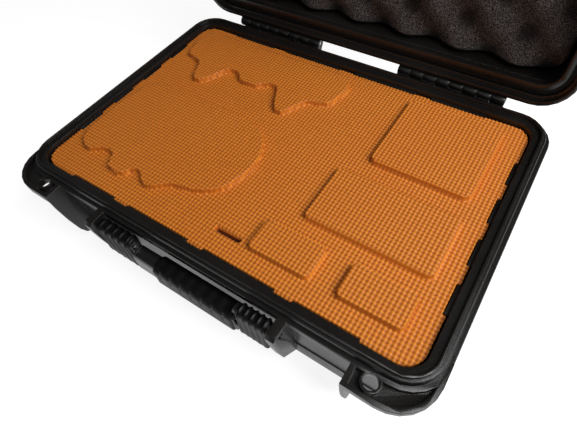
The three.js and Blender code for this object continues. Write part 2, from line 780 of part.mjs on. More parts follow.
// The stiff frame under the rubber: a bar with an arm up to each pivot.
function handleFrame(grow) {
  const armInner = (side) => onSide(side, SLEEVE.inner) - 3.5;
  const armOuter = BRACKET.inner - 0.6;
  const bar = loftX([-armInner(-1) - 2, armInner(1) + 2].map((x) => ({
    outline: roundedSection(GRIP.y, GRIP.z, CORE_BAR.halfY, CORE_BAR.halfZ, CORE_BAR.radius, grow),
    x,
  })));
  const { y, z } = HANDLE_PIVOT;
  const half = CORE_ARM.halfY + grow;
  const low = CORE_ARM.low - grow;
  const arm = [[y - half, z], [y - half, low], [y + half, low], [y + half, z]];
  const arms = bothSides((side) => {
    const span = ordered(side, armInner(side) - grow, armOuter);
    return rodX(CORE_ARM.hub + grow, y, z, ...span).add(prismX(arm, ...span));
  });
  return bar.add(arms);
}

function handleCore() {
  const radius = HANDLE_PIN.radius + BORE_CLEARANCE;
  return handleFrame(0).subtract(bothSides((side) => rodX(
    radius,
    HANDLE_PIVOT.y,
    HANDLE_PIVOT.z,
    ...ordered(side, onSide(side, HANDLE_PIN.inner) - 2, BRACKET.inner),
  )));
}

// A ribbed rubber sleeve over one arm.
function handleSleeve(side) {
  const { outer, ribs, low, halfY } = SLEEVE;
  const inner = onSide(side, SLEEVE.inner);
  const { y, z } = HANDLE_PIVOT;
  const section = (shrink) => roundedSection(
    y,
    (z + 8 + low) / 2,
    halfY - shrink,
    (z + 8 - low) / 2 - shrink,
    7.4 - shrink,
  );
  const pitch = (outer - inner) / ribs;
  const levels = [];
  for (let rib = 0; rib < ribs; rib += 1) {
    const start = inner + pitch * rib;
    levels.push({ outline: section(rib ? 2.2 : 1.2), x: start });
    levels.push({ outline: section(0.4), x: start + pitch * 0.18 });
    levels.push({ outline: section(0), x: start + pitch * 0.38 });
    levels.push({ outline: section(0.4), x: start + pitch * 0.58 });
    levels.push({ outline: section(2.2), x: start + pitch * 0.76 });
  }
  levels.push({ outline: section(1.2), x: outer });
  const right = loftX(levels);
  const placed = side > 0 ? right : mirrorX(right);
  return placed.subtract(handleFrame(GAP));
}

function mirrorX(solid) {
  const geometry = toGeometry(solid);
  const positions = geometry.attributes.position.array;
  for (let i = 0; i < positions.length; i += 3) {
    positions[i] *= -1;
  }
  const index = geometry.index.array;
  for (let i = 0; i < index.length; i += 3) {
    [index[i], index[i + 1]] = [index[i + 1], index[i]];
  }
  return toSolid(geometry);
}

// The rubber grip: a full section that swells between finger grooves.
function handleGrip() {
  const levels = [];
  const steps = 24;
  const { left, right } = GRIP_ENDS;
  for (let step = 0; step <= steps; step += 1) {
    const x = left + ((right - left) * step) / steps;
    const end = step === 0 || step === steps ? 1.4 : 0;
    const swell = 0.5 * Math.cos((2 * Math.PI * x) / FINGER_PITCH);
    const halfY = GRIP.halfY - end;
    const halfZ = GRIP.halfZ - end + swell;
    levels.push({ outline: roundedSection(GRIP.y, GRIP.z, halfY, halfZ, GRIP.radius - end), x });
  }
  return loftX(levels).subtract(handleFrame(GAP));
}

// ---------------------------------------------------------------- latches, drawn closed

function latchArm(side) {
  const { pivotY: y, pivotZ: z, linkDrop, width } = LATCH;
  const half = width / 2;
  const middle = side * LATCH_X;
  const link = z - linkDrop;
  const web = [[y - 5.4, z], [y - 5.4, link + 7], [y - 1.6, link + 7], [y + 1, z - 4]];
  const pieces = [rodX(5.5, y, z, middle - half, middle + half), prismX(web, middle - half, middle + half)];
  const cheek = [[y - 5.4, z - 10], [y - 5, link], [y + 4.6, link], [y - 1, z - 14]];
  for (const end of [-1, 1]) {
    const [x0, x1] = ordered(end, 17, half).map((x) => middle + x);
    pieces.push(rodX(5, y, link, x0, x1));
    pieces.push(prismX(cheek, x0, x1));
  }
  return joinAll(pieces)
    .subtract(latchBore(z, middle, half))
    .subtract(latchBore(link, middle, half));
}

// A pin bore at height z that runs right through a latch piece.
function latchBore(z, middle, half) {
  return rodX(LATCH_PIN_RADIUS + BORE_CLEARANCE, LATCH.pivotY, z, middle - half - 1, middle + half + 1);
}

function latchLever(side) {
  const { pivotY: y, pivotZ: z, linkDrop, width } = LATCH;
  const middle = side * LATCH_X;
  const link = z - linkDrop;
  const knuckle = 16.4;
  const hook = [
    [y - 3, link - 4], [y, link + 3.4], [-156.2, link + 3.4], [-156.2, link + 0.6], [-161, link - 2.2],
  ];
  const neck = [[y - 5, link], [y - 5, link - 12], [y - 1.5, link - 12], [y + 4, link - 3], [y, link]];
  const tab = new THREE.Shape();
  tab.moveTo(y - 5, link - 6);
  tab.lineTo(y - 5, link - 26);
  tab.quadraticCurveTo(y - 5.4, link - 34, y - 10, link - 38);
  tab.lineTo(y - 7, link - 40);
  tab.quadraticCurveTo(y - 1.6, link - 36, y - 1.5, link - 26);
  tab.lineTo(y - 1.5, link - 6);
  const half = width / 2 - 1;
  return joinAll([
    rodX(5, y, link, middle - knuckle, middle + knuckle),
    prismX(hook, middle - knuckle, middle + knuckle),
    prismX(neck, middle - knuckle, middle + knuckle),
    prismX(tab, middle - half, middle + half),
  ]).subtract(latchBore(link, middle, knuckle));
}

// ---------------------------------------------------------------- pins

function hingePin(side) {
  const end = HINGE.start + HINGE.pitch * HINGE.repeats;
  return rodX(HINGE_PIN_RADIUS, HINGE.y, HINGE.z, ...ordered(side, HINGE.start + 0.5, end - 0.5));
}

function handlePin(side) {
  const span = ordered(side, onSide(side, HANDLE_PIN.inner), HANDLE_PIN.outer);
  return rodX(HANDLE_PIN.radius, HANDLE_PIVOT.y, HANDLE_PIVOT.z, ...span);
}

function latchPin(side) {
  const span = ordered(side, LATCH_EAR.inner + 0.5, LATCH_EAR.outer - 0.5);
  return rodX(LATCH_PIN_RADIUS, LATCH.pivotY, LATCH.pivotZ, ...span);
}

function linkPin(side) {
  const middle = side * LATCH_X;
  const half = LATCH.width / 2 - 0.5;
  return rodX(LATCH_PIN_RADIUS, LATCH.pivotY, LATCH.pivotZ - LATCH.linkDrop, middle - half, middle + half);
}

// ---------------------------------------------------------------- assembly

function mesh(name, solid, color, roughness, metalness) {
  const piece = new THREE.Mesh(toGeometry(solid), material(color, roughness, metalness));
  piece.name = name;
  return piece;
}

// A group that turns about an X axis through (y, z); its meshes keep the parent's coordinates.
function turnedGroup(y, z, degrees, children) {
  const turned = new THREE.Group();
  turned.position.set(0, y, z);
  turned.rotation.x = THREE.MathUtils.degToRad(degrees);
  const holder = new THREE.Group();
  holder.position.set(0, -y, -z);
  holder.add(...children);
  turned.add(holder);
  return turned;
}

function baseMeshes() {
  return [
    mesh('base_shell', baseShell(), SHELL_COLOR, 0.38),
    mesh('foam_block', foamBlock(), GREY_FOAM_COLOR, 0.95),
    mesh('foam_top', foamSheet(), ORANGE_COLOR, 0.85),
    mesh('hinge_pin_right', hingePin(1), STEEL_COLOR, 0.3, 1),
    mesh('hinge_pin_left', hingePin(-1), STEEL_COLOR, 0.3, 1),
    mesh('handle_pin_right', handlePin(1), STEEL_COLOR, 0.3, 1),
    mesh('handle_pin_left', handlePin(-1), STEEL_COLOR, 0.3, 1),
  ];
}

function handleMeshes() {
  return [
    mesh('handle_core', handleCore(), SHELL_COLOR, 0.4),
    mesh('handle_grip', handleGrip(), RUBBER_COLOR, 0.7),
    mesh('handle_sleeve_right', handleSleeve(1), RUBBER_COLOR, 0.6),
    mesh('handle_sleeve_left', handleSleeve(-1), RUBBER_COLOR, 0.6),
  ];
}

function latchGroup(side, word) {
  const lever = turnedGroup(LATCH.pivotY, LATCH.pivotZ - LATCH.linkDrop, -LATCH.leverOpen, [
    mesh(`latch_lever_${word}`, latchLever(side), SHELL_COLOR, 0.4),
  ]);
  return turnedGroup(LATCH.pivotY, LATCH.pivotZ, -LATCH.armOpen, [
    mesh(`latch_arm_${word}`, latchArm(side), SHELL_COLOR, 0.4),
    mesh(`latch_link_pin_${word}`, linkPin(side), STEEL_COLOR, 0.3, 1),
    lever,
  ]);
}

function lidGroup() {
  return turnedGroup(HINGE.y, HINGE.z, -HINGE.openAngle, [
    mesh('lid_shell', lidShell(), SHELL_COLOR, 0.38),
    mesh('lid_seal', lidSeal(), RUBBER_COLOR, 0.8),
    mesh('lid_foam', lidFoam(), GREY_FOAM_COLOR, 0.95),
    mesh('valve_body', valveBody(), RUBBER_COLOR, 0.5),
    mesh('valve_seal', valveSeal(), RUBBER_COLOR, 0.8),
    mesh('valve_cap', valveCap(), SHELL_COLOR, 0.5),
    mesh('latch_pin_right', latchPin(1), STEEL_COLOR, 0.3, 1),
    mesh('latch_pin_left', latchPin(-1), STEEL_COLOR, 0.3, 1),
    latchGroup(1, 'right'),
    latchGroup(-1, 'left'),
  ]);
}

const group = new THREE.Group();
group.add(...baseMeshes(), ...handleMeshes(), lidGroup());

export default group;
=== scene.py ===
"""Looks for the hard equipment case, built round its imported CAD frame."""

import json
import math

import bpy
import numpy as np
from mathutils import Matrix, Vector


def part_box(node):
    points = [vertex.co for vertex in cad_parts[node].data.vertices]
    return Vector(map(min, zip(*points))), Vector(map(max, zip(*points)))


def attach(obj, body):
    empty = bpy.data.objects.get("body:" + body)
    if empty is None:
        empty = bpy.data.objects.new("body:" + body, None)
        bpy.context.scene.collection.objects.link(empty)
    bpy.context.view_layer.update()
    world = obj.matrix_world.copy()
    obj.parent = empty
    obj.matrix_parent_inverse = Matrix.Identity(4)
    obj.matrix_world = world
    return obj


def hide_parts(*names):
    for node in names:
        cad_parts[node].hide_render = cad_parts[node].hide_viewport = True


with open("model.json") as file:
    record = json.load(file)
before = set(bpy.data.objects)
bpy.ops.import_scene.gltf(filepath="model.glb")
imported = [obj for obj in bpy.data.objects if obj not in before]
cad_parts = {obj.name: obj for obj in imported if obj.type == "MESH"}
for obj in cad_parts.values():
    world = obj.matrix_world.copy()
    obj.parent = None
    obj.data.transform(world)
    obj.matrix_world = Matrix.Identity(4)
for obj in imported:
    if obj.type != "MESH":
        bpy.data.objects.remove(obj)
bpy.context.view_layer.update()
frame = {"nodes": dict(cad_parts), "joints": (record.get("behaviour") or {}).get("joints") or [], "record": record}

MM = 0.001
JOINTS = {joint["name"]: joint for joint in frame["joints"]}
SLOTS = {part["node"]: part["material_slot"] for part in frame["record"]["subparts"]}


# ------------------------------------------------------------------ reading the frame

FLAT_WITHIN = 0.02 * MM  # a face this level counts as flat
CORNER_SNAP = 0.002  # millimetres, to match corners of neighbouring triangles


def hinge_turn(name, degrees):
    """The matrix that turns things about a joint."""
    joint = JOINTS[name]
    pivot = Vector(joint["pos_m"])
    turn = Matrix.Rotation(math.radians(degrees), 4, Vector(joint["axis"]))
    return Matrix.Translation(pivot) @ turn @ Matrix.Translation(-pivot)


LID_OPEN = hinge_turn("lid_hinge", -JOINTS["lid_hinge"]["range_deg"][0])
LID_CLOSE = LID_OPEN.inverted()


def cad_triangles(node, matrix=Matrix.Identity(4)):
    """A CAD node's triangles as an array of shape (count, 3, 3), after a matrix."""
    mesh = frame["nodes"][node].data
    mesh.calc_loop_triangles()
    points = np.empty(len(mesh.vertices) * 3)
    mesh.vertices.foreach_get("co", points)
    points = points.reshape(-1, 3)
    turn = np.array(matrix)
    points = points @ turn[:3, :3].T + turn[:3, 3]
    corners = np.empty(len(mesh.loop_triangles) * 3, dtype=np.int64)
    mesh.loop_triangles.foreach_get("vertices", corners)
    return points[corners.reshape(-1, 3)]


def level_outline(triangles, z, up):
    """The (x, y) segments round the flat faces at one height that face up or down."""
    normals = np.cross(triangles[:, 1] - triangles[:, 0], triangles[:, 2] - triangles[:, 0])
    flat = np.abs(triangles[:, :, 2] - z).max(axis=1) < FLAT_WITHIN
    facing = normals[:, 2] > 0 if up else normals[:, 2] < 0
    chosen = triangles[flat & facing]
    edges = set()
    for corners in np.round(chosen[:, :, :2] / (CORNER_SNAP * MM)).astype(np.int64):
        keys = [tuple(corner) for corner in corners]
        for a, b in ((0, 1), (1, 2), (2, 0)):
            if (keys[b], keys[a]) in edges:
                edges.remove((keys[b], keys[a]))
            else:
                edges.add((keys[a], keys[b]))
    return np.array(sorted(edges), dtype=float) * CORNER_SNAP * MM


def outline_distance(points, segments):
    """Signed distance to an outline, positive inside, and the nearest point on it."""
    x, y = points[:, 0], points[:, 1]
    best = np.full(len(points), np.inf)
    nearest = np.zeros_like(points)
    inside = np.zeros(len(points), dtype=bool)
    for start, end in segments:
        run = end - start
        share = np.clip(((points - start) @ run) / max(run @ run, 1e-18), 0, 1)
        foot = start + share[:, None] * run
        gap = ((points - foot) ** 2).sum(axis=1)
        closer = gap < best
        best[closer] = gap[closer]
        nearest[closer] = foot[closer]
        if start[1] != end[1]:
            crosses = (start[1] > y) != (end[1] > y)
            inside ^= crosses & (x < start[0] + (y - start[1]) * run[0] / run[1])
    return np.where(inside, 1.0, -1.0) * np.sqrt(best), nearest


# ------------------------------------------------------------------ shapes

def smooth_step(value, low, high):
    """0 below low, 1 above high, and a smooth ramp between."""
    share = np.clip((value - low) / (high - low), 0, 1)
    return share * share * (3 - 2 * share)


def round_over(distance, radius):
    """How far a rounded edge has dropped, at a distance inside the edge."""
    return radius * (1 - np.sqrt(1 - np.clip(1 - distance / radius, 0, 1) ** 2))


def new_object(name, data):
    obj = bpy.data.objects.new(name, data)
    bpy.context.scene.collection.objects.link(obj)
    return obj


def mesh_from(name, points, faces, matrix=None):
    mesh = bpy.data.meshes.new(name)
    mesh.from_pydata([tuple(point) for point in points], [], [tuple(face) for face in faces])
    if matrix is not None:
        mesh.transform(matrix)
    mesh.update()
    return mesh


def border_loop(cells):
    """The corners round a patch of four-sided cells, in order."""
    border = {}
    for cell in cells:
        for a, b in zip(cell, cell[1:] + cell[:1]):
            if border.pop((b, a), None) is None:
                border[(a, b)] = True
    following = dict(border.keys())
    start = next(iter(following))
    loop = [start]
    while following[loop[-1]] != start:
        loop.append(following[loop[-1]])
    return loop


def slab_under_surface(name, segments, step, height, bottom, matrix=None):
    """A closed slab inside an outline: its top is height(points, distance), its base is flat."""
    corners = segments.reshape(-1, 2)
    low, high = corners.min(axis=0), corners.max(axis=0)
    counts = np.round((high - low) / step).astype(int)
    xs = np.linspace(low[0], high[0], counts[0] + 1)
    ys = np.linspace(low[1], high[1], counts[1] + 1)
    grid = np.stack(np.meshgrid(xs, ys), axis=-1).reshape(-1, 2)
    distance, nearest = outline_distance(grid, segments)
    columns = counts[0] + 1
    first = (np.arange(counts[1])[:, None] * columns + np.arange(counts[0])[None, :]).ravel()
    cells = np.stack([first, first + 1, first + columns + 1, first + columns], axis=1)
    cells = cells[(distance > 0)[cells].sum(axis=1) >= 2]
    used, cells = np.unique(cells, return_inverse=True)
    cells = cells.reshape(-1, 4).tolist()
    plan, distance, nearest = grid[used], distance[used], nearest[used]
    outer = distance <= 0
    plan[outer] = nearest[outer]
    distance = np.maximum(distance, 0)
    top = np.column_stack([plan, height(plan, distance)])
    loop = border_loop(cells)
    floor = np.column_stack([plan[loop], np.full(len(loop), bottom)])
    base = len(top)
    faces = cells
    for i in range(len(loop)):
        j = (i + 1) % len(loop)
        faces.append([loop[j], loop[i], base + i, base + j])
    faces.append([base + i for i in reversed(range(len(loop)))])
    return new_object(name, mesh_from(name, np.vstack([top, floor]), faces, matrix))


def shade_smooth(obj):
    obj.data.polygons.foreach_set("use_smooth", [True] * len(obj.data.polygons))


def store_values(obj, name, values, rest):
    """Stores a value for each top point of a slab, and one value for the points of its base."""
    full = np.full(len(obj.data.vertices), rest, dtype=np.float32)
    full[:len(values)] = values
    obj.data.attributes.new(name, "FLOAT", "POINT").data.foreach_set("value", full)


# ------------------------------------------------------------------ materials
# Noise scales are cells per metre, and colours are linear.

class Nodes:
    """A node material being built."""

    def __init__(self, name):
        self.material = bpy.data.materials.new(name)
        self.material.use_nodes = True
        self.tree = self.material.node_tree
        self.surface = self.tree.nodes["Principled BSDF"]
        self.position = self.add("ShaderNodeTexCoord").outputs["Object"]

    def add(self, kind, **settings):
        node = self.tree.nodes.new(kind)
        for key, value in settings.items():
            setattr(node, key, value)
        return node

    def put(self, target, value):
        """Links a socket to a target, or sets the target to a value."""
        if isinstance(value, bpy.types.NodeSocket):
            self.tree.links.new(value, target)
        else:
            target.default_value = value

    def noise(self, scale, detail, roughness, stretch=None):
        texture = self.add("ShaderNodeTexNoise")
        source = self.position
        if stretch is not None:
            mapping = self.add("ShaderNodeMapping")
            self.put(mapping.inputs["Scale"], stretch)
            self.put(mapping.inputs["Vector"], source)
            source = mapping.outputs["Vector"]
        self.put(texture.inputs["Vector"], source)
        self.put(texture.inputs["Scale"], scale)
        self.put(texture.inputs["Detail"], detail)
        self.put(texture.inputs["Roughness"], roughness)
        return texture.outputs["Fac"]

    def spread(self, value, low, high, out_low=0.0, out_high=1.0):
        """Stretches the range low..high to out_low..out_high, and clamps."""
        node = self.add("ShaderNodeMapRange", clamp=True)
        self.put(node.inputs["From Min"], low)
        self.put(node.inputs["From Max"], high)
        self.put(node.inputs["To Min"], out_low)
        self.put(node.inputs["To Max"], out_high)
        self.put(node.inputs["Value"], value)
        return node.outputs["Result"]

    def combine(self, a, b, operation="ADD"):
        node = self.add("ShaderNodeMath", operation=operation)
        self.put(node.inputs[0], a)
        self.put(node.inputs[1], b)
        return node.outputs[0]

    def mix(self, share, a, b):
        node = self.add("ShaderNodeMix", data_type="RGBA")
        self.put(node.inputs["Factor"], share)
        for socket, colour in ((node.inputs["A"], a), (node.inputs["B"], b)):
            self.put(socket, (*colour, 1.0) if isinstance(colour, tuple) else colour)
        return node.outputs["Result"]

    def attribute(self, name):
        return self.add("ShaderNodeAttribute", attribute_name=name).outputs["Fac"]

    def bump(self, height, distance, strength):
        node = self.add("ShaderNodeBump")
        self.put(node.inputs["Distance"], distance)
        self.put(node.inputs["Strength"], strength)
        self.put(node.inputs["Height"], height)
        return node.outputs["Normal"]

    def finish(self, **values):
        """Sets the surface's inputs by name, with _ for a space, and returns the material."""
        for key, value in values.items():
            if isinstance(value, tuple):
                value = (*value, 1.0)
            self.put(self.surface.inputs[key.replace("_", " ")], value)
        return self.material


def moulded_plastic(name, dark, light, rough_low, rough_high, grain):
    """Black moulded plastic: a fine spark-eroded grain, broad flow marks and pale specks."""
    n = Nodes(name)
    broad = n.noise(9, 4, 0.6)
    fine = n.noise(900, 2, 0.6)
    speck = n.spread(n.noise(1250, 1, 0.5), 0.64, 0.74)
    scuff = n.spread(n.noise(38, 5, 0.7), 0.56, 0.72)
    pale = tuple(3.5 * c for c in light)
    colour = n.mix(n.spread(broad, 0.3, 0.7), dark, light)
    colour = n.mix(n.combine(speck, 0.30, "MULTIPLY"), colour, pale)
    flow = n.spread(broad, 0.3, 0.7, rough_low, rough_high)
    rough = n.combine(flow, n.spread(fine, 0.3, 0.7, -0.06, 0.06))
    rough = n.combine(rough, n.combine(scuff, 0.08, "MULTIPLY"))
    return n.finish(
        Base_Color=colour,
        Roughness=rough,
        Specular_IOR_Level=0.5,
        Normal=n.bump(fine, grain, 0.5),
    )


def rubber(name, colour, rough):
    """Matt rubber with a fine grain and faint broad marks."""
    n = Nodes(name)
    fine = n.noise(1300, 2, 0.6)
    broad = n.noise(14, 3, 0.5)
    return n.finish(
        Base_Color=n.mix(n.spread(broad, 0.3, 0.7), colour, tuple(1.6 * c for c in colour)),
        Roughness=n.spread(broad, 0.3, 0.7, rough - 0.06, rough + 0.06),
        Specular_IOR_Level=0.20,
        Normal=n.bump(fine, 0.05 * MM, 0.5),
    )


def closed_foam(name):
    """Orange closed-cell foam, with painted shade in the pits of its dotted face, on the walls of its forms that
    face away from the key light, and in its slot.
    """
    n = Nodes(name)
    pit = n.attribute("pit")
    wall = n.attribute("wall")
    cells = n.noise(1600, 2, 0.6)
    patch = n.noise(260, 2, 0.6)
    broad = n.noise(6, 3, 0.5)
    colour = n.mix(n.spread(broad, 0.35, 0.65), (0.87, 0.275, 0.021), (0.92, 0.308, 0.027))
    colour = n.mix(n.spread(patch, 0.35, 0.75, 0.0, 0.35), colour, (0.74, 0.205, 0.011))
    # Painted shade: the pits between the dots are darkened, most where they are deepest.
    colour = n.mix(n.spread(pit, 0.10, 0.60, 0.0, 0.55), colour, (0.42, 0.085, 0.003))
    colour = n.mix(n.spread(pit, 0.55, 0.95, 0.0, 0.6), colour, (0.30, 0.055, 0.002))
    # Painted shade: walls of the forms that face away from the key light are darkened, and the slot much more.
    colour = n.mix(n.spread(wall, 0.1, 0.9, 0.0, 0.55), colour, (0.42, 0.080, 0.003))
    colour = n.mix(n.spread(wall, 1.0, 1.8), colour, (0.11, 0.020, 0.001))
    return n.finish(
        Base_Color=colour,
        Roughness=n.spread(cells, 0.3, 0.7, 0.42, 0.56),
        Specular_IOR_Level=0.4,
        Sheen_Weight=0.06,
        Normal=n.bump(cells, 0.06 * MM, 0.6),
    )


def open_foam(name):
    """Charcoal open-cell foam: pale strands over dark pores, with painted shade, near black, in the hollows
    between its waves.
    """
    n = Nodes(name)
    pores = n.noise(760, 3, 0.75)
    strands = n.noise(1500, 2, 0.65)
    broad = n.noise(7, 3, 0.5)
    hollow_shade = n.attribute("hollow_shade")
    colour = n.mix(n.spread(broad, 0.3, 0.7), (0.086, 0.072, 0.067), (0.115, 0.097, 0.091))
    colour = n.mix(n.spread(pores, 0.50, 0.60), (0.007, 0.006, 0.006), colour)
    colour = n.mix(n.spread(strands, 0.55, 0.66, 0.0, 0.75), colour, (0.32, 0.28, 0.27))
    # Painted shade: the hollows between the waves are darkened to near black.
    colour = n.mix(n.spread(hollow_shade, 0.25, 1.0, 0.0, 0.8), colour, (0.004, 0.0035, 0.0035))
    return n.finish(
        Base_Color=colour,
        Roughness=0.9,
        Specular_IOR_Level=0.2,
        Normal=n.bump(n.combine(pores, strands), 0.4 * MM, 0.9),
    )


def drawn_steel(name):
    """Steel with fine marks along x, the way every pin lies."""
    n = Nodes(name)
    lines = n.noise(300, 4, 0.6, stretch=(0.05, 1, 1))
    return n.finish(
        Base_Color=n.mix(lines, (0.45, 0.45, 0.46), (0.66, 0.66, 0.67)),
        Metallic=1.0,
        Roughness=n.spread(lines, 0.3, 0.7, 0.22, 0.38),
        Normal=n.bump(lines, 0.02 * MM, 0.4),
    )


MATERIALS = {
    "shell_plastic": moulded_plastic(
        "shell_plastic", (0.0062, 0.0052, 0.0046), (0.0110, 0.0096, 0.0090), 0.25, 0.36, 0.05 * MM),
    "fitting_plastic": moulded_plastic(
        "fitting_plastic", (0.007, 0.0068, 0.007), (0.012, 0.0118, 0.012), 0.24, 0.34, 0.04 * MM),
    "soft_rubber": rubber("soft_rubber", (0.0026, 0.0025, 0.0026), 0.44),
    "seal_rubber": rubber("seal_rubber", (0.012, 0.012, 0.012), 0.6),
    "orange_foam": closed_foam("orange_foam"),
    "grey_foam": open_foam("grey_foam"),
    "steel_pin": drawn_steel("steel_pin"),
}


def paint(obj, slot):
    obj.data.materials.clear()
    obj.data.materials.append(MATERIALS[slot])


def settle(obj, slot, body, node):
    """Gives a finished piece its material and its body, and hides the CAD node it stands for."""
    paint(obj, slot)
    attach(obj, body)
    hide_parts(node)


# ------------------------------------------------------------------ CAD pieces

EDGE_SEGMENTS = 2
EDGE_ANGLE = math.radians(32)
FLAT_ANGLE = math.radians(0.4)
WELD_WITHIN = 0.005 * MM
EDGE_WIDTH = {
    "shell_plastic": 0.28 * MM,
    "fitting_plastic": 0.3 * MM,
    "soft_rubber": 0.3 * MM,
    "seal_rubber": 0.3 * MM,
    "steel_pin": 0.3 * MM,
}


def soften_edges(obj, width):
    """Welds a CAD mesh, merges its flat faces and rounds its edges, all as modifiers."""
    weld = obj.modifiers.new("weld", "WELD")
    weld.merge_threshold = WELD_WITHIN
    flat = obj.modifiers.new("flat", "DECIMATE")
    flat.decimate_type = "DISSOLVE"
    flat.angle_limit = FLAT_ANGLE
    bevel = obj.modifiers.new("bevel", "BEVEL")
    bevel.width = width
    bevel.segments = EDGE_SEGMENTS
    bevel.limit_method = "ANGLE"
    bevel.angle_limit = EDGE_ANGLE
    bevel.use_clamp_overlap = False
    bevel.loop_slide = False
    bevel.harden_normals = True
    shade_smooth(obj)


for node, obj in frame["nodes"].items():
    slot = SLOTS[node]
    paint(obj, slot)
    if slot in EDGE_WIDTH:
        soften_edges(obj, EDGE_WIDTH[slot])


# ------------------------------------------------------------------ foam sheet

FOAM_PITCH = 4.0 * MM
FOAM_GRID = 0.72 * MM
DOT_DEPTH = 1.3 * MM
RELIEF_DRAFT = 1.3 * MM
SHEET_ROUND = 1.0 * MM
SHEET_ROUND_SHARE = 0.6
SLOT_EDGE = (-0.5 * MM, 0.4 * MM)
LIGHT_STEP = 0.7 * MM
LIGHT_EDGE = (-0.4 * MM, 0.6 * MM)
MEAN_PIT = 0.42
# The painted pit and wall shade value stored for the points of the sheet's base.
BASE_VALUE = 0.3
LEVEL_STEP = 0.1  # millimetres, to tell the CAD sheet's levels apart


def waffle(points):
    """The dotted face, 0 in a pit and 1 on a dot."""
    wave = np.cos(2 * math.pi * points / FOAM_PITCH).sum(axis=1) / 4 + 0.5
    return np.clip(1.12 * wave - 0.06, 0, 1)


def build_foam_sheet():
    """The dotted sheet with its raised forms and its slot, on the CAD sheet's outlines."""
    triangles = cad_triangles("foam_top")
    levels = sorted({round(z / (LEVEL_STEP * MM)) for z in triangles[:, :, 2].ravel()})
    bottom, slot_floor, sheet_top, form_top = (level * LEVEL_STEP * MM for level in levels)
    edge = level_outline(triangles, bottom, up=False)
    slot = level_outline(triangles, slot_floor, up=True)
    forms = level_outline(triangles, form_top, up=True)
    values = {}

    def slope_to_light(points, form):
        """1 where a form's edge falls to the back or the right, 0 to the front or the left."""
        ahead, _ = outline_distance(points + LIGHT_STEP, forms)
        return smooth_step(form - ahead, *LIGHT_EDGE)

    def height(points, distance):
        form, _ = outline_distance(points, forms)
        pocket, _ = outline_distance(points, slot)
        lift = smooth_step(form, -RELIEF_DRAFT / 2, RELIEF_DRAFT / 2)
        sink = smooth_step(pocket, *SLOT_EDGE)
        dots = waffle(points)
        steep = 4 * lift * (1 - lift)
        shaded = steep * (1 - 0.85 * slope_to_light(points, form))
        smoothed = np.maximum(shaded, 0.75 * steep)
        # Painted shade masks: the pit value darkens the dots' pits, and the wall value darkens form walls that
        # face away from the key light and, doubled, the slot.
        values["pit"] = MEAN_PIT + (1 - dots - MEAN_PIT) * (1 - smoothed)
        values["wall"] = np.maximum(shaded, 2 * sink)
        flat = sheet_top + (form_top - sheet_top) * lift - (sheet_top - slot_floor) * sink
        rounded = SHEET_ROUND_SHARE * round_over(distance, SHEET_ROUND)
        return flat - DOT_DEPTH * (1 - dots) * (1 - smoothed) - rounded

    obj = slab_under_surface("foam_sheet", edge, FOAM_GRID, height, bottom)
    for name in ("pit", "wall"):
        store_values(obj, name, values[name], BASE_VALUE)
    shade_smooth(obj)
    settle(obj, "orange_foam", "base", "foam_top")


build_foam_sheet()


# ------------------------------------------------------------------ lid foam

LID_WAVE = 62 * MM
LID_WAVE_HEIGHT = 6 * MM
LID_GRID = 2.0 * MM
LID_ROUND = 3 * MM
FACE_UP = np.array([1, -1])


def build_lid_foam():
    """The convoluted foam, made with the lid closed and its waves facing up, then turned."""
    triangles = cad_triangles("lid_foam", LID_CLOSE)
    low, back = triangles[:, :, 2].min(), triangles[:, :, 2].max()
    edge = level_outline(triangles, back, up=True)
    values = {}

    def height(points, distance):
        phase = 2 * math.pi * (points * FACE_UP) / LID_WAVE
        wave = np.sin(phase[:, 0]) * np.sin(phase[:, 1])
        # Painted shade mask: 0 from the wave crests down to mid-height, 1 at the bottom of each hollow.
        values["hollow_shade"] = smooth_step(wave, 0.0, 1.0)
        rounded = round_over(distance, LID_ROUND)
        return -(low + LID_WAVE_HEIGHT + LID_WAVE_HEIGHT * wave + rounded)

    to_lid = LID_OPEN @ Matrix.Rotation(math.pi, 4, "X")
    obj = slab_under_surface("lid_foam_waves", edge * FACE_UP, LID_GRID, height, -back, to_lid)
    store_values(obj, "hollow_shade", values["hollow_shade"], 0.0)
    shade_smooth(obj)
    settle(obj, "grey_foam", "lid", "lid_foam")


build_lid_foam()


# ------------------------------------------------------------------ foam block

BLOCK_GRID = 5.0 * MM
BLOCK_ROUND = 3.0 * MM
BLOCK_UNEVEN = 0.2 * MM
BLOCK_UNEVEN_X = 90
BLOCK_UNEVEN_Y = 110


def build_foam_block():
    """The lower foam block: softly rounded top edges and a faintly uneven top."""
    triangles = cad_triangles("foam_block")
    bottom, top = triangles[:, :, 2].min(), triangles[:, :, 2].max()
    edge = level_outline(triangles, bottom, up=False)

    def height(points, distance):
        wave = np.sin(points[:, 0] * BLOCK_UNEVEN_X) * np.cos(points[:, 1] * BLOCK_UNEVEN_Y)
        return top - round_over(distance, BLOCK_ROUND) - BLOCK_UNEVEN * (1 + wave)

    obj = slab_under_surface("foam_block_cut", edge, BLOCK_GRID, height, bottom)
    settle(obj, "grey_foam", "base", "foam_block")


build_foam_block()


# ------------------------------------------------------------------ handle rubber

RING_POINTS = 72
RUBBER_STEP = 0.7 * MM
RUBBER_END_ROUND = 1.6 * MM
CREASE_ANGLE = math.radians(50)

GRIP_RADIUS = 7.6 * MM
CORE_BAR = (7.9 * MM, 13.9 * MM, 4.3 * MM)  # half depth, half height and corner radius
FINGER_PITCH = 12.4 * MM
FIRST_FINGER = -18.6 * MM
FINGER_WAVE = 0.6 * MM
GROOVE_DEPTH = 0.9 * MM
GROOVE_HALF = 1.5 * MM
GROOVE_Z = (63 * MM, 79 * MM)
GROOVE_FADE_IN = 5 * MM
GROOVE_FADE_OUT = 3 * MM

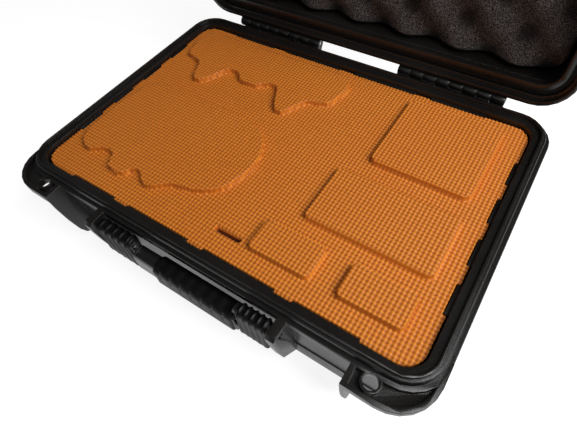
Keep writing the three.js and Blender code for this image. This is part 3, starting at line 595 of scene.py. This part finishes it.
SLEEVE_RADIUS = 7.4 * MM
CORE_ARM = (5.3 * MM, 19.8 * MM, 5.0 * MM)  # half depth, half height and corner radius
CORE_ARM_Z = 69.5 * MM
SLEEVE_RINGS = 5
RING_SHARE = 0.15
RING_DEPTH = 1.4 * MM
SLEEVE_SKIN = 0.3 * MM
RING_FADE_Z = (52 * MM, 70 * MM)


def rounded_ring(half_y, half_z, radius):
    """Points and outward normals round a rounded rectangle, evenly spaced, as (y, z)."""
    arc = radius * math.pi / 2
    flat_y, flat_z = 2 * (half_y - radius), 2 * (half_z - radius)
    total = 4 * arc + 2 * flat_y + 2 * flat_z
    points, normals = [], []
    for i in range(RING_POINTS):
        travel = total * i / RING_POINTS
        for quarter in range(4):
            run = (flat_z, flat_y)[quarter % 2]
            reach = (half_y, half_z)[quarter % 2]
            angle = quarter * math.pi / 2
            turn = np.array([[math.cos(angle), -math.sin(angle)], [math.sin(angle), math.cos(angle)]])
            if travel < run:
                points.append(turn @ np.array([reach, travel - run / 2]))
                normals.append(turn @ np.array([1.0, 0.0]))
                break
            travel -= run
            if travel < arc:
                lean = travel / radius
                direction = np.array([math.cos(lean), math.sin(lean)])
                points.append(turn @ (np.array([reach - radius, run / 2]) + radius * direction))
                normals.append(turn @ direction)
                break
            travel -= arc
    return np.array(points), np.array(normals)


def rubber_tube(node, radius, bore, bore_z, shrink):
    """A closed tube along x round the handle's core; shrink(x, points, normals) draws its skin in."""
    low, high = (np.array(corner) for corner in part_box(node))
    middle, half = (low + high) / 2, (high - low) / 2
    ring, normals = rounded_ring(half[1], half[2], radius)
    ring = ring + middle[1:]
    hole = rounded_ring(*bore)[0] + np.array([middle[1], bore_z])
    xs = np.linspace(low[0], high[0], int((high[0] - low[0]) / RUBBER_STEP) + 1)
    rows = []
    for x in xs:
        end = min(x - low[0], high[0] - x)
        inward = shrink(x, ring, normals) + round_over(end, RUBBER_END_ROUND)
        rows.append(np.column_stack([np.full(RING_POINTS, x), ring - normals * inward[:, None]]))
    for x in (xs[-1], xs[0]):
        rows.append(np.column_stack([np.full(RING_POINTS, x), hole]))
    faces = []
    for row in range(len(rows)):
        a, b = row * RING_POINTS, ((row + 1) % len(rows)) * RING_POINTS
        for i in range(RING_POINTS):
            j = (i + 1) % RING_POINTS
            faces.append((a + j, b + j, b + i, a + i))
    name = f"{node}_rubber"
    obj = new_object(name, mesh_from(name, np.vstack(rows), faces))
    shade_smooth(obj)
    crease = obj.modifiers.new("crease", "EDGE_SPLIT")
    crease.split_angle = CREASE_ANGLE
    settle(obj, "soft_rubber", "handle", node)


def grip_skin(x, points, normals):
    """Finger waves along the top edge and short upright grooves high on the outer face."""
    wave = 0.5 - 0.5 * math.cos(2 * math.pi * (x - FIRST_FINGER) / FINGER_PITCH + math.pi)
    top = smooth_step(normals[:, 1], 0.1, 0.9)
    from_groove = (x - FIRST_FINGER + FINGER_PITCH / 2) % FINGER_PITCH - FINGER_PITCH / 2
    groove = math.exp(-(from_groove / GROOVE_HALF) ** 2)
    outer = smooth_step(-normals[:, 0], 0.4, 0.8)
    span = smooth_step(points[:, 1], GROOVE_Z[0], GROOVE_Z[0] + GROOVE_FADE_IN)
    span = span * (1 - smooth_step(points[:, 1], GROOVE_Z[1] - GROOVE_FADE_OUT, GROOVE_Z[1]))
    return FINGER_WAVE * wave * top + GROOVE_DEPTH * groove * outer * span


def sleeve_skin(node):
    """Rings round a sleeve, deepest near its top."""
    low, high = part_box(node)
    pitch = (high[0] - low[0]) / SLEEVE_RINGS

    def skin(x, points, normals):
        place = ((x - low[0]) / pitch) % 1
        ring = math.exp(-((place - 0.5) / RING_SHARE) ** 2)
        deep = 0.25 + 0.75 * smooth_step(points[:, 1], *RING_FADE_Z)
        return SLEEVE_SKIN + RING_DEPTH * (1 - ring) * deep

    return skin


grip_low, grip_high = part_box("handle_grip")
grip_middle_z = (grip_low[2] + grip_high[2]) / 2
rubber_tube("handle_grip", GRIP_RADIUS, CORE_BAR, grip_middle_z, grip_skin)
for sleeve in ("handle_sleeve_right", "handle_sleeve_left"):
    rubber_tube(sleeve, SLEEVE_RADIUS, CORE_ARM, CORE_ARM_Z, sleeve_skin(sleeve))


# ------------------------------------------------------------------ stage

FLOOR_HALF = 60.0
FLOOR_DROP = 0.2 * MM

# How bright the floor and the world look to the camera, in reflections, and as light.
FLOOR_GLOW = (0.84, 0.62, 0.05)
WORLD_GLOW = (0.97, 0.09, 0.11)

CAMERA_PLACE = (0.2038, -0.2559, 0.4206)
CAMERA_FORWARD = Vector((-0.365, 0.454, -0.813))
CAMERA_RIGHT = Vector((0.834, 0.547, -0.069))
CAMERA_LENS = 26.9
SENSOR_WIDTH = 36
CLIP_START = 0.01


def glow(tree, camera, glossy, other):
    """A strength that differs for camera rays, glossy rays and the rest."""
    path = tree.nodes.new("ShaderNodeLightPath")
    total = other
    for ray, value in (("Is Camera Ray", camera), ("Is Glossy Ray", glossy)):
        node = tree.nodes.new("ShaderNodeMath")
        node.operation = "MULTIPLY_ADD"
        tree.links.new(path.outputs[ray], node.inputs[0])
        node.inputs[1].default_value = value - other
        if total is other:
            node.inputs[2].default_value = other
        else:
            tree.links.new(total, node.inputs[2])
        total = node.outputs[0]
    return total


def build_floor():
    """A wide pale floor that reads as plain paper."""
    size = FLOOR_HALF
    corners = [(-size, -size, 0), (size, -size, 0), (size, size, 0), (-size, size, 0)]
    floor = new_object("floor", mesh_from("floor", corners, [(0, 1, 2, 3)]))
    floor.location.z = -FLOOR_DROP
    n = Nodes("floor_paper")
    floor.data.materials.append(n.finish(
        Base_Color=n.mix(n.noise(60, 3, 0.5), (0.50, 0.50, 0.50), (0.53, 0.53, 0.53)),
        Roughness=0.9,
        Specular_IOR_Level=0.0,
        Emission_Color=(1.0, 1.0, 1.0),
        Emission_Strength=glow(n.tree, *FLOOR_GLOW),
    ))


def area_light(name, place, target, size, power):
    data = bpy.data.lights.new(name, "AREA")
    data.shape = "RECTANGLE"
    data.size, data.size_y = size
    data.energy = power
    light = new_object(name, data)
    light.location = place
    light.rotation_euler = (Vector(target) - Vector(place)).to_track_quat("-Z", "Y").to_euler()


def build_light():
    """A pale world, a soft key light from the right and a weak one from the front."""
    world = bpy.data.worlds.new("studio")
    world.use_nodes = True
    background = world.node_tree.nodes["Background"]
    background.inputs["Color"].default_value = (1, 1, 1, 1)
    strength = glow(world.node_tree, *WORLD_GLOW)
    world.node_tree.links.new(strength, background.inputs["Strength"])
    bpy.context.scene.world = world
    area_light("key", (0.85, 0.0, 0.95), (0.1, -0.05, 0.1), (0.8, 0.8), 12.8)
    area_light("fill", (0.1, -1.1, 1.0), (0, 0, 0.1), (1.4, 0.25), 1.3)


def build_camera():
    """The photograph's viewpoint: above the front right corner, looking down to the left."""
    data = bpy.data.cameras.new("camera")
    data.sensor_width = SENSOR_WIDTH
    data.lens = CAMERA_LENS
    data.clip_start = CLIP_START
    camera = new_object("camera", data)
    forward = CAMERA_FORWARD.normalized()
    right = (CAMERA_RIGHT - CAMERA_RIGHT.dot(forward) * forward).normalized()
    up = right.cross(forward)
    turn = Matrix((right, up, -forward)).transposed().to_4x4()
    camera.matrix_world = Matrix.Translation(CAMERA_PLACE) @ turn
    bpy.context.scene.camera = camera


build_floor()
build_light()
build_camera()
bpy.context.scene.view_settings.view_transform = "Standard"
